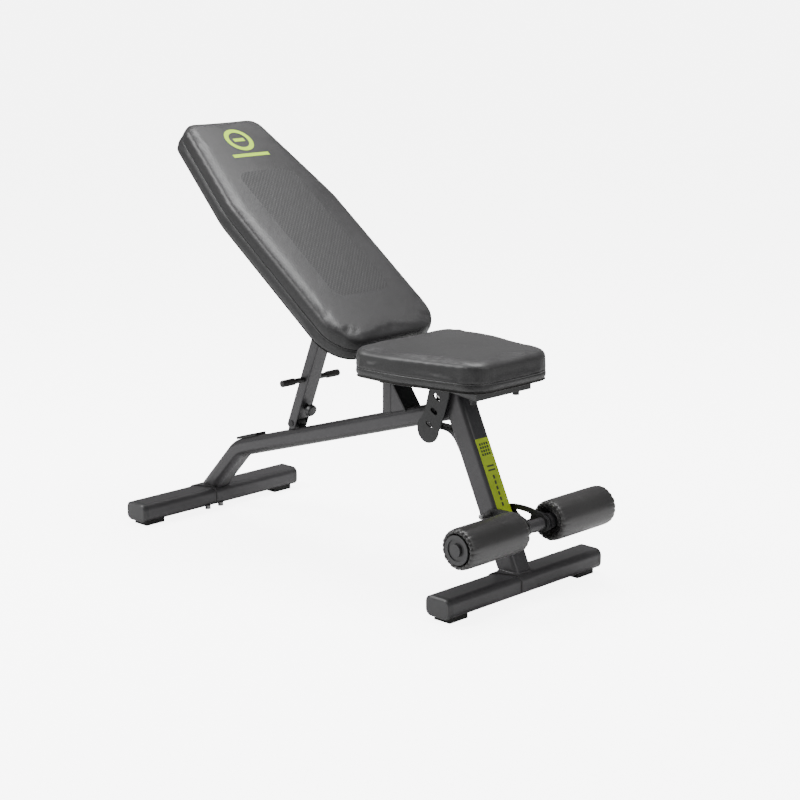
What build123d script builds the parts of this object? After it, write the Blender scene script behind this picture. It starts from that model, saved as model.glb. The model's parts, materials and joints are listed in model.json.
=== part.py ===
from build123d import *
import os
from math import atan2, cos, hypot, radians, sin, tan

# Decline sit-up bench. Millimetres, +Z up, +X towards the leg rollers, -Y the near side.
# The origin is on the floor under the middle of the bench. All but the roller bar, the pins
# and the seat's tongue is symmetric about Y = 0.

# ---------------------------------------------------------------- driving dimensions
BENCH_HALF_WIDTH = 238.0        # half the length of each foot tube, end caps included
REAR_FOOT_X = -497.0
FRONT_FOOT_X = 448.0
FOOT_W, FOOT_H, FOOT_R = 65.0, 42.5, 14.0
PAD_THICK = 10.0                # rubber blocks under the feet
WALL = 2.5                      # tube wall
GAP = 0.3                       # clearance between faces that move past each other
RUN = 0.05                      # radial running clearance of pins and shafts

HINGE_X, HINGE_Z = 96.0, 411.0     # common hinge axis of backrest and seat
HINGE_BOLT_R = 6.0
HINGE_LUG_R = 16.0

BACK_ANGLE = 36.6               # incline of the backrest at rest
BACK_START, BACK_END = 40.0, 742.0
BACK_HALF_WIDTH = 159.0
BACK_HEAD_HALF = 110.0
BACK_TAPER_AT = 470.0
BACK_BOARD_N, BACK_PAD_N, BACK_TOP_N = 15.0, 25.0, 77.0

STRUT_X, STRUT_Z = -204.5, 253.0    # pivot of the backrest strut
STRUT_LEAN = 21.7               # forward lean at rest
STRUT_W, STRUT_D = 40.0, 25.0
STRUT_LENGTH = 290.0            # pivot to head pin
STRUT_RATIO = 2.3               # strut turn for each degree of backrest turn
HEAD_PIN_R = 5.0
BACK_DOWN, BACK_UP = -46.0, 2.0     # travel of the backrest from rest, degrees

LEG_LEAN = 25.2
LEG_W, LEG_D, LEG_R = 50.0, 51.0, 9.0
LEG_MID_X, LEG_MID_Z = 372.5, 200.0
LEG_TOP_Z = 408.0

SPINE_W, SPINE_H, SPINE_R = 50.0, 40.0, 13.0
SPINE_SLOPE = 16.8
SPINE_AT_HINGE_Z = 308.3        # height of the spine's centre line under the hinge
SPINE_BEND_X = -393.0
DOWN_TUBE_SLOPE = 46.7

ROLLER_X, ROLLER_Z = 489.5, 156.0
ROLLER_R, BAR_R = 42.0, 12.5
ROLLER_IN, ROLLER_OUT = 52.0, 221.0
BAR_MID_Y = -4.0                # the roller bar sits slightly to the near side
LOCK_X, LOCK_Z = 399.0, 168.0
LOWER_X, LOWER_Z = 412.0, 122.0

SEAT_REAR, SEAT_FRONT = 117.0, 442.5
SEAT_HALF_REAR, SEAT_HALF_FRONT = 157.0, 115.0
SEAT_TAPER_AT = 246.0
SEAT_BOARD_Z, SEAT_PAD_Z, SEAT_TOP_Z = 435.0, 445.0, 492.5
CHEEK_IN, CHEEK_OUT = 32.0, 36.0     # hinge cheeks of the seat, outside the rails
RAIL_IN, RAIL_OUT = 24.0, 28.0      # toothed rails of the backrest
SLOT_RADIUS = 160.5
SLOT_ANGLES = (7.5, 19.0, 30.5)
SLOT_TILT = -28.0               # turn of each slot's long side from level

SIDES = ((-1, "near"), (1, "far"))

parts = {}


# ---------------------------------------------------------------- helpers
def along(base_x, base_z, lean):
    """Plane whose Z runs up a line leaning forward by lean degrees, X forward, Y as the bench's Y."""
    a = radians(lean)
    return Plane(origin=(base_x, 0, base_z), x_dir=(cos(a), 0, -sin(a)), z_dir=(sin(a), 0, cos(a)))


def hinge_frame(angle):
    """Plane at the hinge: X along the backrest to its head, Z out of the padded face."""
    a = radians(angle)
    return Plane(origin=(HINGE_X, 0, HINGE_Z), x_dir=(-cos(a), 0, sin(a)), z_dir=(sin(a), 0, cos(a)))


def rounded_bar(w, d, r, z0, z1, wall=None):
    """Tube or bar along local Z: w in Y, d in X."""
    sketch = RectangleRounded(d, w, r)
    if wall:
        sketch -= RectangleRounded(d - 2 * wall, w - 2 * wall, max(r - wall, 0.5))
    return Pos(0, 0, z0) * extrude(sketch, z1 - z0)


def pin_y(x, z, r, y0, y1):
    """Cylinder along Y between y0 and y1."""
    return Pos(x, (y0 + y1) / 2, z) * Rot(90, 0, 0) * Cylinder(r, abs(y1 - y0))


def ring_y(x, z, r_out, r_in, y0, y1):
    return pin_y(x, z, r_out, y0, y1) - pin_y(x, z, r_in, min(y0, y1) - 1, max(y0, y1) + 1)


def hex_y(x, z, flats, y0, y1):
    """Hexagon head along Y."""
    prism = extrude(RegularPolygon(flats / 2, 6, major_radius=False), abs(y1 - y0))
    return Pos(x, max(y0, y1), z) * Rot(90, 0, 0) * prism


def plate_xz(points, y0, y1, fillet_r=0.0):
    """Flat plate in the XZ plane with an outline of (x, z) points."""
    face = make_face(Polyline(*points, close=True))
    if fillet_r:
        face = fillet(face.vertices(), fillet_r)
    return Pos(0, max(y0, y1), 0) * Rot(90, 0, 0) * extrude(face, abs(y1 - y0))


def spine_z(x):
    return SPINE_AT_HINGE_Z + tan(radians(SPINE_SLOPE)) * (x - HINGE_X)


def leg_x(z):
    """Centre line of the front leg."""
    return LEG_MID_X - tan(radians(LEG_LEAN)) * (z - LEG_MID_Z)


back = hinge_frame(BACK_ANGLE)
strut = along(STRUT_X, STRUT_Z, STRUT_LEAN)
leg = along(LEG_MID_X, LEG_MID_Z, -LEG_LEAN)


# ---------------------------------------------------------------- feet
CAP_LENGTH = 14.0
CAP_PLUG = 22.0
RUBBER_IN, RUBBER_OUT, RUBBER_W = 170.0, 224.0, 44.0
FOOT_MID_Z = PAD_THICK + FOOT_H / 2


def foot_tube(x):
    half = BENCH_HALF_WIDTH - CAP_LENGTH
    tube = Rot(90, 0, 0) * extrude(
        RectangleRounded(FOOT_W, FOOT_H, FOOT_R)
        - RectangleRounded(FOOT_W - 2 * WALL, FOOT_H - 2 * WALL, FOOT_R - WALL), half, both=True)
    return Pos(x, 0, FOOT_MID_Z) * tube


def foot_cap(x, side):
    """Plastic end cap: a domed face the size of the tube and a plug that fills its mouth."""
    face = extrude(RectangleRounded(FOOT_W, FOOT_H, FOOT_R), CAP_LENGTH)
    face = chamfer(face.faces().sort_by(Axis.Z)[-1].edges(), 3)
    plug = Pos(0, 0, -CAP_PLUG) * extrude(
        RectangleRounded(FOOT_W - 2 * WALL, FOOT_H - 2 * WALL, FOOT_R - WALL), CAP_PLUG)
    y = side * (BENCH_HALF_WIDTH - CAP_LENGTH)
    return Pos(x, y, FOOT_MID_Z) * Rot(-90 * side, 0, 0) * (face + plug)


def foot_rubber(x, side):
    block = Box(RUBBER_W, RUBBER_OUT - RUBBER_IN, PAD_THICK)
    block = fillet(block.edges().filter_by(Axis.Z), 3)
    return Pos(x, side * (RUBBER_IN + RUBBER_OUT) / 2, PAD_THICK / 2) * block


def foot_saddle(x, outer_half, inner_half):
    """Plate welded over the middle of a foot tube, narrower down its front."""
    skin = 2.5
    shell = RectangleRounded(FOOT_W + 2 * skin, FOOT_H + 2 * skin, FOOT_R + skin)
    shell -= RectangleRounded(FOOT_W, FOOT_H, FOOT_R)
    body = Pos(x, 0, FOOT_MID_Z) * Rot(90, 0, 0) * extrude(shell, outer_half, both=True)
    body &= Pos(x, 0, FOOT_MID_Z + 10) * Box(2 * FOOT_W, 4 * outer_half, FOOT_H)
    rear, front = x - FOOT_W / 2 + 1, x + FOOT_W / 2 + skin
    outline = [(rear, -outer_half), (front, -inner_half), (front, inner_half), (rear, outer_half)]
    trim = extrude(make_face(Polyline(*outline, close=True)), 2 * FOOT_H)
    return body & trim


for foot, foot_x in (("front", FRONT_FOOT_X), ("rear", REAR_FOOT_X)):
    parts[f"{foot}_foot_tube"] = foot_tube(foot_x)
    parts[f"{foot}_foot_caps"] = Compound(children=[foot_cap(foot_x, side) for side, _ in SIDES])
    parts[f"{foot}_foot_rubbers"] = Compound(children=[foot_rubber(foot_x, side) for side, _ in SIDES])
parts["front_foot_saddle"] = foot_saddle(FRONT_FOOT_X, 52, 22)
parts["rear_foot_saddle"] = foot_saddle(REAR_FOOT_X, 50, 22)

# Bolts that hold the saddles, with their heads under the foot tubes.
foot_bolts = []
for foot_x, bolt_x in ((FRONT_FOOT_X, FRONT_FOOT_X), (REAR_FOOT_X, REAR_FOOT_X + 27)):
    for y in (-45, -6):
        bolt = Pos(bolt_x, y, 10) * Cylinder(6.5, 9) - parts["front_foot_tube"] - parts["rear_foot_tube"]
        foot_bolts.append(bolt.solids().sort_by(Axis.Z)[0])
parts["foot_bolts"] = Compound(children=foot_bolts)


# ---------------------------------------------------------------- spine
foot_top_z = PAD_THICK + FOOT_H + 2.5
slope = radians(SPINE_SLOPE)
down = radians(DOWN_TUBE_SLOPE)
bend_z = spine_z(SPINE_BEND_X)
BEND_R = 70.0
SPINE_STRAIGHT_END = 292.0
tube_low_x = SPINE_BEND_X - (bend_z - 20) / tan(down)
BEND_HALF_DEG = (DOWN_TUBE_SLOPE - SPINE_SLOPE) / 2
tangent = BEND_R * tan(radians(BEND_HALF_DEG))
bend_low = (SPINE_BEND_X - tangent * cos(down), bend_z - tangent * sin(down))
bend_high = (SPINE_BEND_X + tangent * cos(slope), bend_z + tangent * sin(slope))
low_end = (tube_low_x, 20.0)
high_end = (SPINE_STRAIGHT_END, spine_z(SPINE_STRAIGHT_END))


def spine_solid(inset):
    """Down tube, bend and long straight run, one bent tube."""
    section = RectangleRounded(SPINE_W - 2 * inset, SPINE_H - 2 * inset, SPINE_R - inset)

    def across(point, angle):
        return Plane(origin=(point[0], 0, point[1]), x_dir=(0, 1, 0), z_dir=(cos(angle), 0, sin(angle)))

    low_length = hypot(bend_low[0] - low_end[0], bend_low[1] - low_end[1])
    high_length = hypot(high_end[0] - bend_high[0], high_end[1] - bend_high[1])
    centre = (bend_low[0] + BEND_R * sin(down), bend_low[1] - BEND_R * cos(down))
    turn_axis = Axis((centre[0], 0, centre[1]), (0, 1, 0))
    run = extrude(across(low_end, down) * section, low_length)
    run += revolve(across(bend_low, down) * section, turn_axis, 2 * BEND_HALF_DEG)
    return run + extrude(across(bend_high, slope) * section, high_length)


foot_solid = Pos(REAR_FOOT_X, 0, FOOT_MID_Z) * Rot(90, 0, 0) * extrude(
    RectangleRounded(FOOT_W + 5, FOOT_H + 5, FOOT_R + 2.5), 60, both=True)
below_foot = Pos(REAR_FOOT_X, 0, 0) * Box(400, 200, 2 * (foot_top_z - 8))
behind_foot = Pos(REAR_FOOT_X - FOOT_W / 2 - 99, 0, 0) * Box(200, 200, 200)
leg_block = leg * rounded_bar(LEG_W, LEG_D, LEG_R, -200, 300)
spine = spine_solid(0) - spine_solid(WALL) - foot_solid - below_foot - behind_foot - leg_block
parts["spine_tube"] = max(spine.solids(), key=lambda piece: piece.volume)

# Bent strap under the joint of spine and leg.
strap_outline = [(192, 316.2), (243, 316.4), (255, 316.0), (266, 314.4), (274.5, 310.5), (283, 303.4),
                 (289, 295.5), (300, 278), (310, 290), (296, 303), (288, 310.5), (279, 317.5),
                 (270, 321.6), (260, 323.2), (246, 323.6), (200, 323.6), (188, 320)]
spine_strap = plate_xz(strap_outline, -13, 13) - spine_solid(0)
spine_strap = (spine_strap - leg_block).solids().sort_by(Axis.X)
parts["spine_strap"] = max(spine_strap, key=lambda piece: piece.volume)

# Rubber rest on top of the rear bend, where the folded strut lies.
rest_plane = Plane(origin=(-357.0, 0, spine_z(-357.0)), x_dir=(cos(slope), 0, sin(slope)),
                   z_dir=(-sin(slope), 0, cos(slope)))
rest_block = extrude(RectangleRounded(72, 34, 5), 6)
parts["spine_rest_pad"] = rest_plane * (Pos(0, 0, SPINE_H / 2) * rest_block)


# ---------------------------------------------------------------- front leg
seat_pin_x = HINGE_X + SLOT_RADIUS * cos(radians(SLOT_ANGLES[0]))
seat_pin_z = HINGE_Z - SLOT_RADIUS * sin(radians(SLOT_ANGLES[0]))
SEAT_PIN_R = 4.0
SEAT_SLEEVE_R = 8.0
SEAT_SLEEVE_HALF = 29.0

leg_tube = leg * rounded_bar(LEG_W, LEG_D, LEG_R, -200, 300, WALL)
leg_tube &= Pos(0, 0, (foot_top_z + LEG_TOP_Z) / 2) * Box(2000, 200, LEG_TOP_Z - foot_top_z)
leg_tube -= pin_y(seat_pin_x, seat_pin_z, SEAT_SLEEVE_R, -40, 40)
LOCK_PIN_R = 4.0
LOWER_BOLT_R = 4.0
leg_tube -= pin_y(LOCK_X, LOCK_Z, LOCK_PIN_R + RUN, -40, 40)
leg_tube -= pin_y(LOWER_X, LOWER_Z, LOWER_BOLT_R, -40, 40)
parts["leg_tube"] = leg_tube

leg_cap = leg * rounded_bar(LEG_W, LEG_D, LEG_R, 200, 300)
parts["leg_top_cap"] = leg_cap & (Pos(leg_x(LEG_TOP_Z), 0, LEG_TOP_Z + 1.5) * Box(200, 100, 3))

parts["seat_pin_sleeve"] = ring_y(seat_pin_x, seat_pin_z, SEAT_SLEEVE_R, SEAT_PIN_R + RUN,
                                  -SEAT_SLEEVE_HALF, SEAT_SLEEVE_HALF)


# ---------------------------------------------------------------- post, brace and hinge
POST_W, POST_D = 40.0, 26.0
POST_X = 94.5
BARREL_R, BARREL_HALF = 13.0, 23.5
POST_BASE_Z = 300.0

spine_full = spine_solid(0)
post = Pos(POST_X, 0, 0) * rounded_bar(POST_W, POST_D, 3, POST_BASE_Z, HINGE_Z - 2, WALL)
parts["post_tube"] = post - spine_full - pin_y(HINGE_X, HINGE_Z, BARREL_R, -30, 30)
parts["hinge_barrel"] = ring_y(HINGE_X, HINGE_Z, BARREL_R, HINGE_BOLT_R, -BARREL_HALF, BARREL_HALF)

# Sloping channel brace from the post's top down to the spine.
BRACE_W, BRACE_T = 48.0, 4.0
brace_top = (111.5, 396.0)
brace_low = (153.0, 339.0)
brace_a = atan2(brace_low[1] - brace_top[1], brace_low[0] - brace_top[0])
brace_nx, brace_nz = -sin(brace_a), cos(brace_a)
brace_web = plate_xz([brace_top, brace_low,
                      (brace_low[0] + BRACE_T * brace_nx, brace_low[1] + BRACE_T * brace_nz),
                      (brace_top[0] + BRACE_T * brace_nx, brace_top[1] + BRACE_T * brace_nz)],
                     -BRACE_W / 2, BRACE_W / 2)
parts["post_brace"] = brace_web - spine_full

gusset_outline = [(POST_X + POST_D / 2, 392.0), (POST_X + POST_D / 2, 310.0), (153.0, 330.0),
                  (brace_low[0] - 4, brace_low[1] + 1), (brace_top[0] - 3, brace_top[1])]
gussets = []
for side, _ in SIDES:
    gusset = plate_xz(gusset_outline, side * 16, side * 19) - spine_full - parts["post_brace"]
    gussets.append(gusset - pin_y(HINGE_X, HINGE_Z, BARREL_R, -30, 30))
parts["post_gussets"] = Compound(children=gussets)

HEAD_AT = CHEEK_OUT + 0.5       # inner face of the bolt's head and of its nut
hinge_bolt = pin_y(HINGE_X, HINGE_Z, HINGE_BOLT_R, -HEAD_AT, HEAD_AT + 10)
hinge_bolt += pin_y(HINGE_X, HINGE_Z, 10, -HEAD_AT - 5, -HEAD_AT)
hinge_nut = hex_y(HINGE_X, HINGE_Z, 18, HEAD_AT, HEAD_AT + 8)
hinge_nut -= pin_y(HINGE_X, HINGE_Z, HINGE_BOLT_R, 0, 60)
washers = [ring_y(HINGE_X, HINGE_Z, 11, HINGE_BOLT_R, side * (RAIL_OUT + GAP), side * (CHEEK_IN - GAP))
           for side, _ in SIDES]
parts["hinge_bolt_set"] = Compound(children=[hinge_bolt, hinge_nut] + washers)


# ---------------------------------------------------------------- strut lug on the spine
LUG_HALF = 11.5
STRUT_PIVOT_R = 5.0
LUG_R = 15.5                    # the stub's block turns just outside this
lug_foot = [(STRUT_X - 24, spine_z(STRUT_X - 24)), (STRUT_X + 20, spine_z(STRUT_X + 20)),
            (STRUT_X + 13, STRUT_Z), (STRUT_X - 14, STRUT_Z + 3)]
strut_lug = plate_xz(lug_foot, -LUG_HALF, LUG_HALF) + pin_y(STRUT_X, STRUT_Z, LUG_R, -LUG_HALF, LUG_HALF)
strut_lug -= spine_full
parts["strut_lug"] = strut_lug - pin_y(STRUT_X, STRUT_Z, STRUT_PIVOT_R + RUN, -30, 30)


# ---------------------------------------------------------------- strut
FORK_CLEAR = 17.0               # front and rear walls stop this far above the pivot
TUBE_TOP = STRUT_LENGTH + 13.0
PULL_AT = 47.0
PULL_R = 4.0
HANDLE_AT = 115.0
HANDLE_R = 6.0
HANDLE_HALF = 82.0
GRIP_R = 7.8
GRIP_LENGTH = 38.0

tube = rounded_bar(STRUT_W, STRUT_D, 3.5, -12.5, TUBE_TOP, WALL)
tube &= (Rot(90, 0, 0) * Cylinder(STRUT_D / 2, 60)
         + Pos(0, 0, TUBE_TOP / 2) * Box(60, 60, TUBE_TOP))
tube -= Box(60, STRUT_W - 2 * WALL, 2 * FORK_CLEAR)
tube -= Rot(90, 0, 0) * Cylinder(STRUT_PIVOT_R, 60)
tube -= Pos(0, 0, STRUT_LENGTH) * Rot(90, 0, 0) * Cylinder(HEAD_PIN_R, 60)
tube -= Pos(0, 0, HANDLE_AT) * Rot(90, 0, 0) * Cylinder(HANDLE_R, 60)
tube -= Pos(STRUT_D / 2, 0, PULL_AT) * Rot(0, 90, 0) * Cylinder(PULL_R + RUN, 20)
parts["strut_tube"] = strut * tube

# The stub fills the lower end of the tube; the pull pin holds the tube on it.
stub = rounded_bar(STRUT_W - 2 * WALL, STRUT_D - 2 * WALL, 1, FORK_CLEAR, 75)
stub -= Pos(6, 0, PULL_AT) * Rot(0, 90, 0) * Cylinder(PULL_R + RUN, 16)
parts["strut_stub"] = strut * stub
parts["strut_cap"] = strut * (Pos(0, 0, TUBE_TOP) * extrude(RectangleRounded(STRUT_D, STRUT_W, 3.5), 2))

parts["strut_pivot_bolt"] = strut * (
    Rot(90, 0, 0) * (Cylinder(STRUT_PIVOT_R, 43) + Pos(0, 0, 21) * Cylinder(7, 2))
    + Pos(0, 21, 0) * Rot(90, 0, 0) * Cylinder(7, 2))

PIN_HALF = 33.0
head_pin = Rot(90, 0, 0) * Cylinder(HEAD_PIN_R, 2 * PIN_HALF)
for side in (-1, 1):
    head_pin += Pos(0, side * (PIN_HALF - 1.5), 0) * Rot(90, 0, 0) * Cylinder(8, 3)
parts["strut_head_pin"] = strut * (Pos(0, 0, STRUT_LENGTH) * head_pin)

handle_bar = Rot(90, 0, 0) * Cylinder(HANDLE_R, 2 * HANDLE_HALF)
parts["strut_handle_bar"] = strut * (Pos(0, 0, HANDLE_AT) * handle_bar)
grips = []
for side, _ in SIDES:
    grip = Cylinder(GRIP_R, GRIP_LENGTH)
    grip = fillet(grip.edges(), 2.5)
    grip -= Pos(0, 0, side * 4) * Cylinder(HANDLE_R, GRIP_LENGTH)
    at = Pos(0, side * (HANDLE_HALF + 4 - GRIP_LENGTH / 2), HANDLE_AT)
    grips.append(strut * at * Rot(90, 0, 0) * grip)
parts["strut_grips"] = Compound(children=grips)

housing = Cylinder(7, 9) - Cylinder(PULL_R + RUN, 9)
parts["strut_pin_housing"] = strut * (Pos(STRUT_D / 2 + 4.5, 0, PULL_AT) * Rot(0, 90, 0) * housing)
PULL_TIP = -1.5
KNOB_FROM = STRUT_D / 2 + 9 + GAP
pull = Pos((PULL_TIP + KNOB_FROM) / 2, 0, 0) * Rot(0, 90, 0) * Cylinder(PULL_R, KNOB_FROM - PULL_TIP)
parts["strut_pull_pin"] = strut * (Pos(0, 0, PULL_AT) * pull)
knob = extrude(Circle(13.5), 12)
knob = fillet(knob.edges(), 3)
parts["strut_pull_knob"] = strut * (Pos(KNOB_FROM, 0, PULL_AT) * Rot(0, 90, 0) * knob)


# ---------------------------------------------------------------- backrest
def rest_to_back(turn):
    """Place of the strut's head pin in the backrest's own frame when it has turned by turn."""
    lean = radians(STRUT_LEAN + STRUT_RATIO * turn)
    px = STRUT_X + STRUT_LENGTH * sin(lean) - HINGE_X
    pz = STRUT_Z + STRUT_LENGTH * cos(lean) - HINGE_Z
    a = radians(BACK_ANGLE + turn)
    return (-px * cos(a) + pz * sin(a), px * sin(a) + pz * cos(a))


RAIL_TOP_N = 11.0
RAIL_END = 650.0
TOOTH_CLEAR = 0.8
NOTCH_R = HEAD_PIN_R + 1.5
NOTCH_STEP = 52.0
NOTCH_COUNT = 8
head_rest = rest_to_back(0)
edge_turns = (BACK_UP, 0.0, -8.0, -16.0, -24.0, -32.0, -40.0, BACK_DOWN)
edge_points = [(s, n + HEAD_PIN_R + TOOTH_CLEAR) for s, n in map(rest_to_back, edge_turns)]


def edge_height(s):
    """Height of the toothed lower edge at distance s, between the points of the pin's path."""
    for (s0, n0), (s1, n1) in zip(edge_points, edge_points[1:]):
        if s0 <= s <= s1:
            return n0 + (n1 - n0) * (s - s0) / (s1 - s0)
    return edge_points[-1][1]


def ladder_rail(side):
    """Toothed side plate: hinge lug at one end, notches along the lower edge."""
    lower = [(150.0, edge_points[0][1] - 2)] + edge_points + [(RAIL_END, edge_points[-1][1])]
    outline = [(0, -HINGE_LUG_R), (60, -HINGE_LUG_R)] + lower
    outline += [(RAIL_END, RAIL_TOP_N), (0, RAIL_TOP_N)]
    face = make_face(Polyline(*outline, close=True)) + Circle(HINGE_LUG_R)
    for step in range(NOTCH_COUNT):
        s = head_rest[0] + step * NOTCH_STEP
        n = edge_height(s)
        face -= Pos(s, n + 1.5) * Circle(NOTCH_R)
        face -= Pos(s, n - 3) * Rectangle(2 * NOTCH_R, 9)
    face -= Circle(HINGE_BOLT_R + RUN)
    y0 = side * (RAIL_IN + RAIL_OUT) / 2 + (RAIL_OUT - RAIL_IN) / 2
    return back * (Pos(0, y0, 0) * Rot(90, 0, 0) * extrude(face, RAIL_OUT - RAIL_IN))


# The backrest's own Y runs towards the near side.
for side, hand in ((1, "near"), (-1, "far")):
    parts[f"ladder_rail_{hand}"] = ladder_rail(side)

CROSS_AT = (110.0, 330.0, 590.0)
cross_plates = []
back_screws = []
for s in CROSS_AT:
    cross_plates.append(back * (Pos(s, 0, RAIL_TOP_N + 2) * Box(34, 168, 4)))
    for y in (-66, 66):
        back_screws.append(back * (Pos(s, y, RAIL_TOP_N - 2.5) * (Cylinder(7.5, 5))))
parts["backrest_cross_plates"] = Compound(children=cross_plates)
parts["backrest_bolts"] = Compound(children=back_screws)


def rounded_outline(points, radii):
    """Six-sided plan, symmetric about X: rounds the first, middle and last pair of its corners."""
    face = make_face(Polyline(*points, close=True))
    for (x, _), radius in zip(points, radii):
        face = fillet([v for v in face.vertices() if abs(v.X - x) < 0.01], radius)
    return face


def back_outline(inset):
    """Plan of the backrest: tapered to the head, round at every corner."""
    i = inset
    points = [(BACK_START + i, -BACK_HALF_WIDTH + i), (BACK_TAPER_AT, -BACK_HALF_WIDTH + i),
              (BACK_END - i, -BACK_HEAD_HALF + i), (BACK_END - i, BACK_HEAD_HALF - i),
              (BACK_TAPER_AT, BACK_HALF_WIDTH - i), (BACK_START + i, BACK_HALF_WIDTH - i)]
    return rounded_outline(points, (78 - i, 200, 42 - i))


BOARD_INSET = 6.0
PAD_EDGE_R = 14.0
parts["backrest_board"] = back * (Pos(0, 0, BACK_BOARD_N) * extrude(
    back_outline(BOARD_INSET), BACK_PAD_N - BACK_BOARD_N))
back_pad = Pos(0, 0, BACK_PAD_N) * extrude(back_outline(0), BACK_TOP_N - BACK_PAD_N)
back_pad = fillet(back_pad.faces().sort_by(Axis.Z)[-1].edges(), PAD_EDGE_R)
parts["backrest_pad"] = back * back_pad


# ---------------------------------------------------------------- seat
def seat_outline(inset):
    i = inset
    points = [(SEAT_REAR + i, -SEAT_HALF_REAR + i), (SEAT_TAPER_AT, -SEAT_HALF_REAR + i),
              (SEAT_FRONT - i, -SEAT_HALF_FRONT + i), (SEAT_FRONT - i, SEAT_HALF_FRONT - i),
              (SEAT_TAPER_AT, SEAT_HALF_REAR - i), (SEAT_REAR + i, SEAT_HALF_REAR - i)]
    return rounded_outline(points, (38 - i, 250, 52 - i))


parts["seat_board"] = Pos(0, 0, SEAT_BOARD_Z) * extrude(
    seat_outline(BOARD_INSET), SEAT_PAD_Z - SEAT_BOARD_Z)
seat_pad = Pos(0, 0, SEAT_PAD_Z) * extrude(seat_outline(0), SEAT_TOP_Z - SEAT_PAD_Z)
seat_pad = fillet(seat_pad.faces().sort_by(Axis.Z)[-1].edges(), PAD_EDGE_R)
parts["seat_pad"] = seat_pad

# Sheet-metal seat frame: flared top plate with turned-down edges, and two hinge cheeks.
FRAME_Z = 431.0
FRAME_REAR, FLARE_AT, FRAME_FRONT, FRAME_HALF = 124.0, 231.0, 407.5, 83.0
FLANGE_DEPTH = 22.0
plan = [(FRAME_REAR, -CHEEK_OUT), (FLARE_AT, -CHEEK_OUT), (FRAME_FRONT, -FRAME_HALF),
        (FRAME_FRONT, FRAME_HALF), (FLARE_AT, CHEEK_OUT), (FRAME_REAR, CHEEK_OUT)]
outer = make_face(Polyline(*plan, close=True))
inner = make_face(Polyline(*[
    (FRAME_REAR - 5, -CHEEK_IN), (FLARE_AT, -CHEEK_IN), (FRAME_FRONT - 3, -FRAME_HALF + 3.6),
    (FRAME_FRONT - 3, FRAME_HALF - 3.6), (FLARE_AT, CHEEK_IN), (FRAME_REAR - 5, CHEEK_IN)], close=True))
tray = Pos(0, 0, FRAME_Z) * extrude(outer, SEAT_BOARD_Z - FRAME_Z)
skirt = Pos(0, 0, SEAT_BOARD_Z - FLANGE_DEPTH) * extrude(outer - inner, FRAME_Z - SEAT_BOARD_Z + FLANGE_DEPTH)
skirt &= Pos((FLARE_AT + FRAME_FRONT) / 2 + 30, 0, 420) * Box(FRAME_FRONT - FLARE_AT + 60, 300, 60)
parts["seat_frame"] = tray + skirt


def seat_cheek(side, outline):
    """Side plate of the seat frame, turning on the hinge bolt."""
    lug = pin_y(HINGE_X, HINGE_Z, HINGE_LUG_R, side * CHEEK_IN, side * CHEEK_OUT)
    plate = plate_xz(outline, side * CHEEK_IN, side * CHEEK_OUT) + lug
    return plate - pin_y(HINGE_X, HINGE_Z, HINGE_BOLT_R + RUN, -60, 60)


cheek_outline = [(HINGE_X, HINGE_Z - HINGE_LUG_R), (HINGE_X + 14, HINGE_Z - 12), (HINGE_X + 42, 412),
                 (FLARE_AT, 412), (FLARE_AT, FRAME_Z), (FRAME_REAR, FRAME_Z), (HINGE_X - 4, HINGE_Z + 12)]
parts["seat_cheek_far"] = seat_cheek(1, cheek_outline)

TONGUE_END_R = 29.0
TONGUE_END_X, TONGUE_END_Z = 229.5, 317.5
tongue_outline = [(230, 425), (234.5, 405), (221, 356), (201.5, 322), (258, 314), (278.5, 360),
                  (289, 394), (291, 415), (291, FRAME_Z), (230, FRAME_Z)]
near_cheek = seat_cheek(-1, cheek_outline)
tongue = plate_xz(tongue_outline, -CHEEK_IN, -CHEEK_OUT)
tongue += pin_y(TONGUE_END_X, TONGUE_END_Z, TONGUE_END_R, -CHEEK_OUT, -CHEEK_IN)
near_cheek += tongue
near_cheek -= parts["seat_frame"]
for angle in SLOT_ANGLES:
    slot_x = HINGE_X + SLOT_RADIUS * cos(radians(angle))
    slot_z = HINGE_Z - SLOT_RADIUS * sin(radians(angle))
    slot = extrude(SlotOverall(20, 2 * SEAT_PIN_R + 2), 20, both=True)
    near_cheek -= Pos(slot_x, -CHEEK_IN, slot_z) * Rot(90, 0, 0) * Rot(0, 0, SLOT_TILT) * slot
parts["seat_cheek_near"] = near_cheek

CROSS_TUBE_X = 383.5
CROSS_TUBE_H = 20.0
parts["seat_cross_tube"] = Pos(CROSS_TUBE_X, 0, FRAME_Z - CROSS_TUBE_H / 2) * (
    Box(25, 2 * (FRAME_HALF - 14), CROSS_TUBE_H) - Box(21, 2 * FRAME_HALF, CROSS_TUBE_H - 4))
seat_bolts = []
for x, y, base in ((CROSS_TUBE_X, 64, FRAME_Z - CROSS_TUBE_H), (160, 20, FRAME_Z)):
    for side, _ in SIDES:
        washer = Pos(x, side * y, base - 1) * Cylinder(9, 2)
        seat_bolts.append(washer + Pos(x, side * y, base - 5.5) * Cylinder(7, 11))
parts["seat_bolts"] = Compound(children=seat_bolts)

# Spring pull pin of the seat, shown drawn back into its sleeve.
PIN_DRAWN_TIP = -30.5
KNOB_Y = SEAT_SLEEVE_HALF + 10.5
parts["seat_pull_pin"] = pin_y(seat_pin_x, seat_pin_z, SEAT_PIN_R, PIN_DRAWN_TIP, KNOB_Y)
seat_knob = extrude(Circle(11), 18)
seat_knob = fillet(seat_knob.edges(), 3)
parts["seat_pull_knob"] = Pos(seat_pin_x, KNOB_Y, seat_pin_z) * Rot(-90, 0, 0) * seat_knob


# ---------------------------------------------------------------- leg rollers
ARM_T = 5.0
ARM_IN = LEG_W / 2


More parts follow.
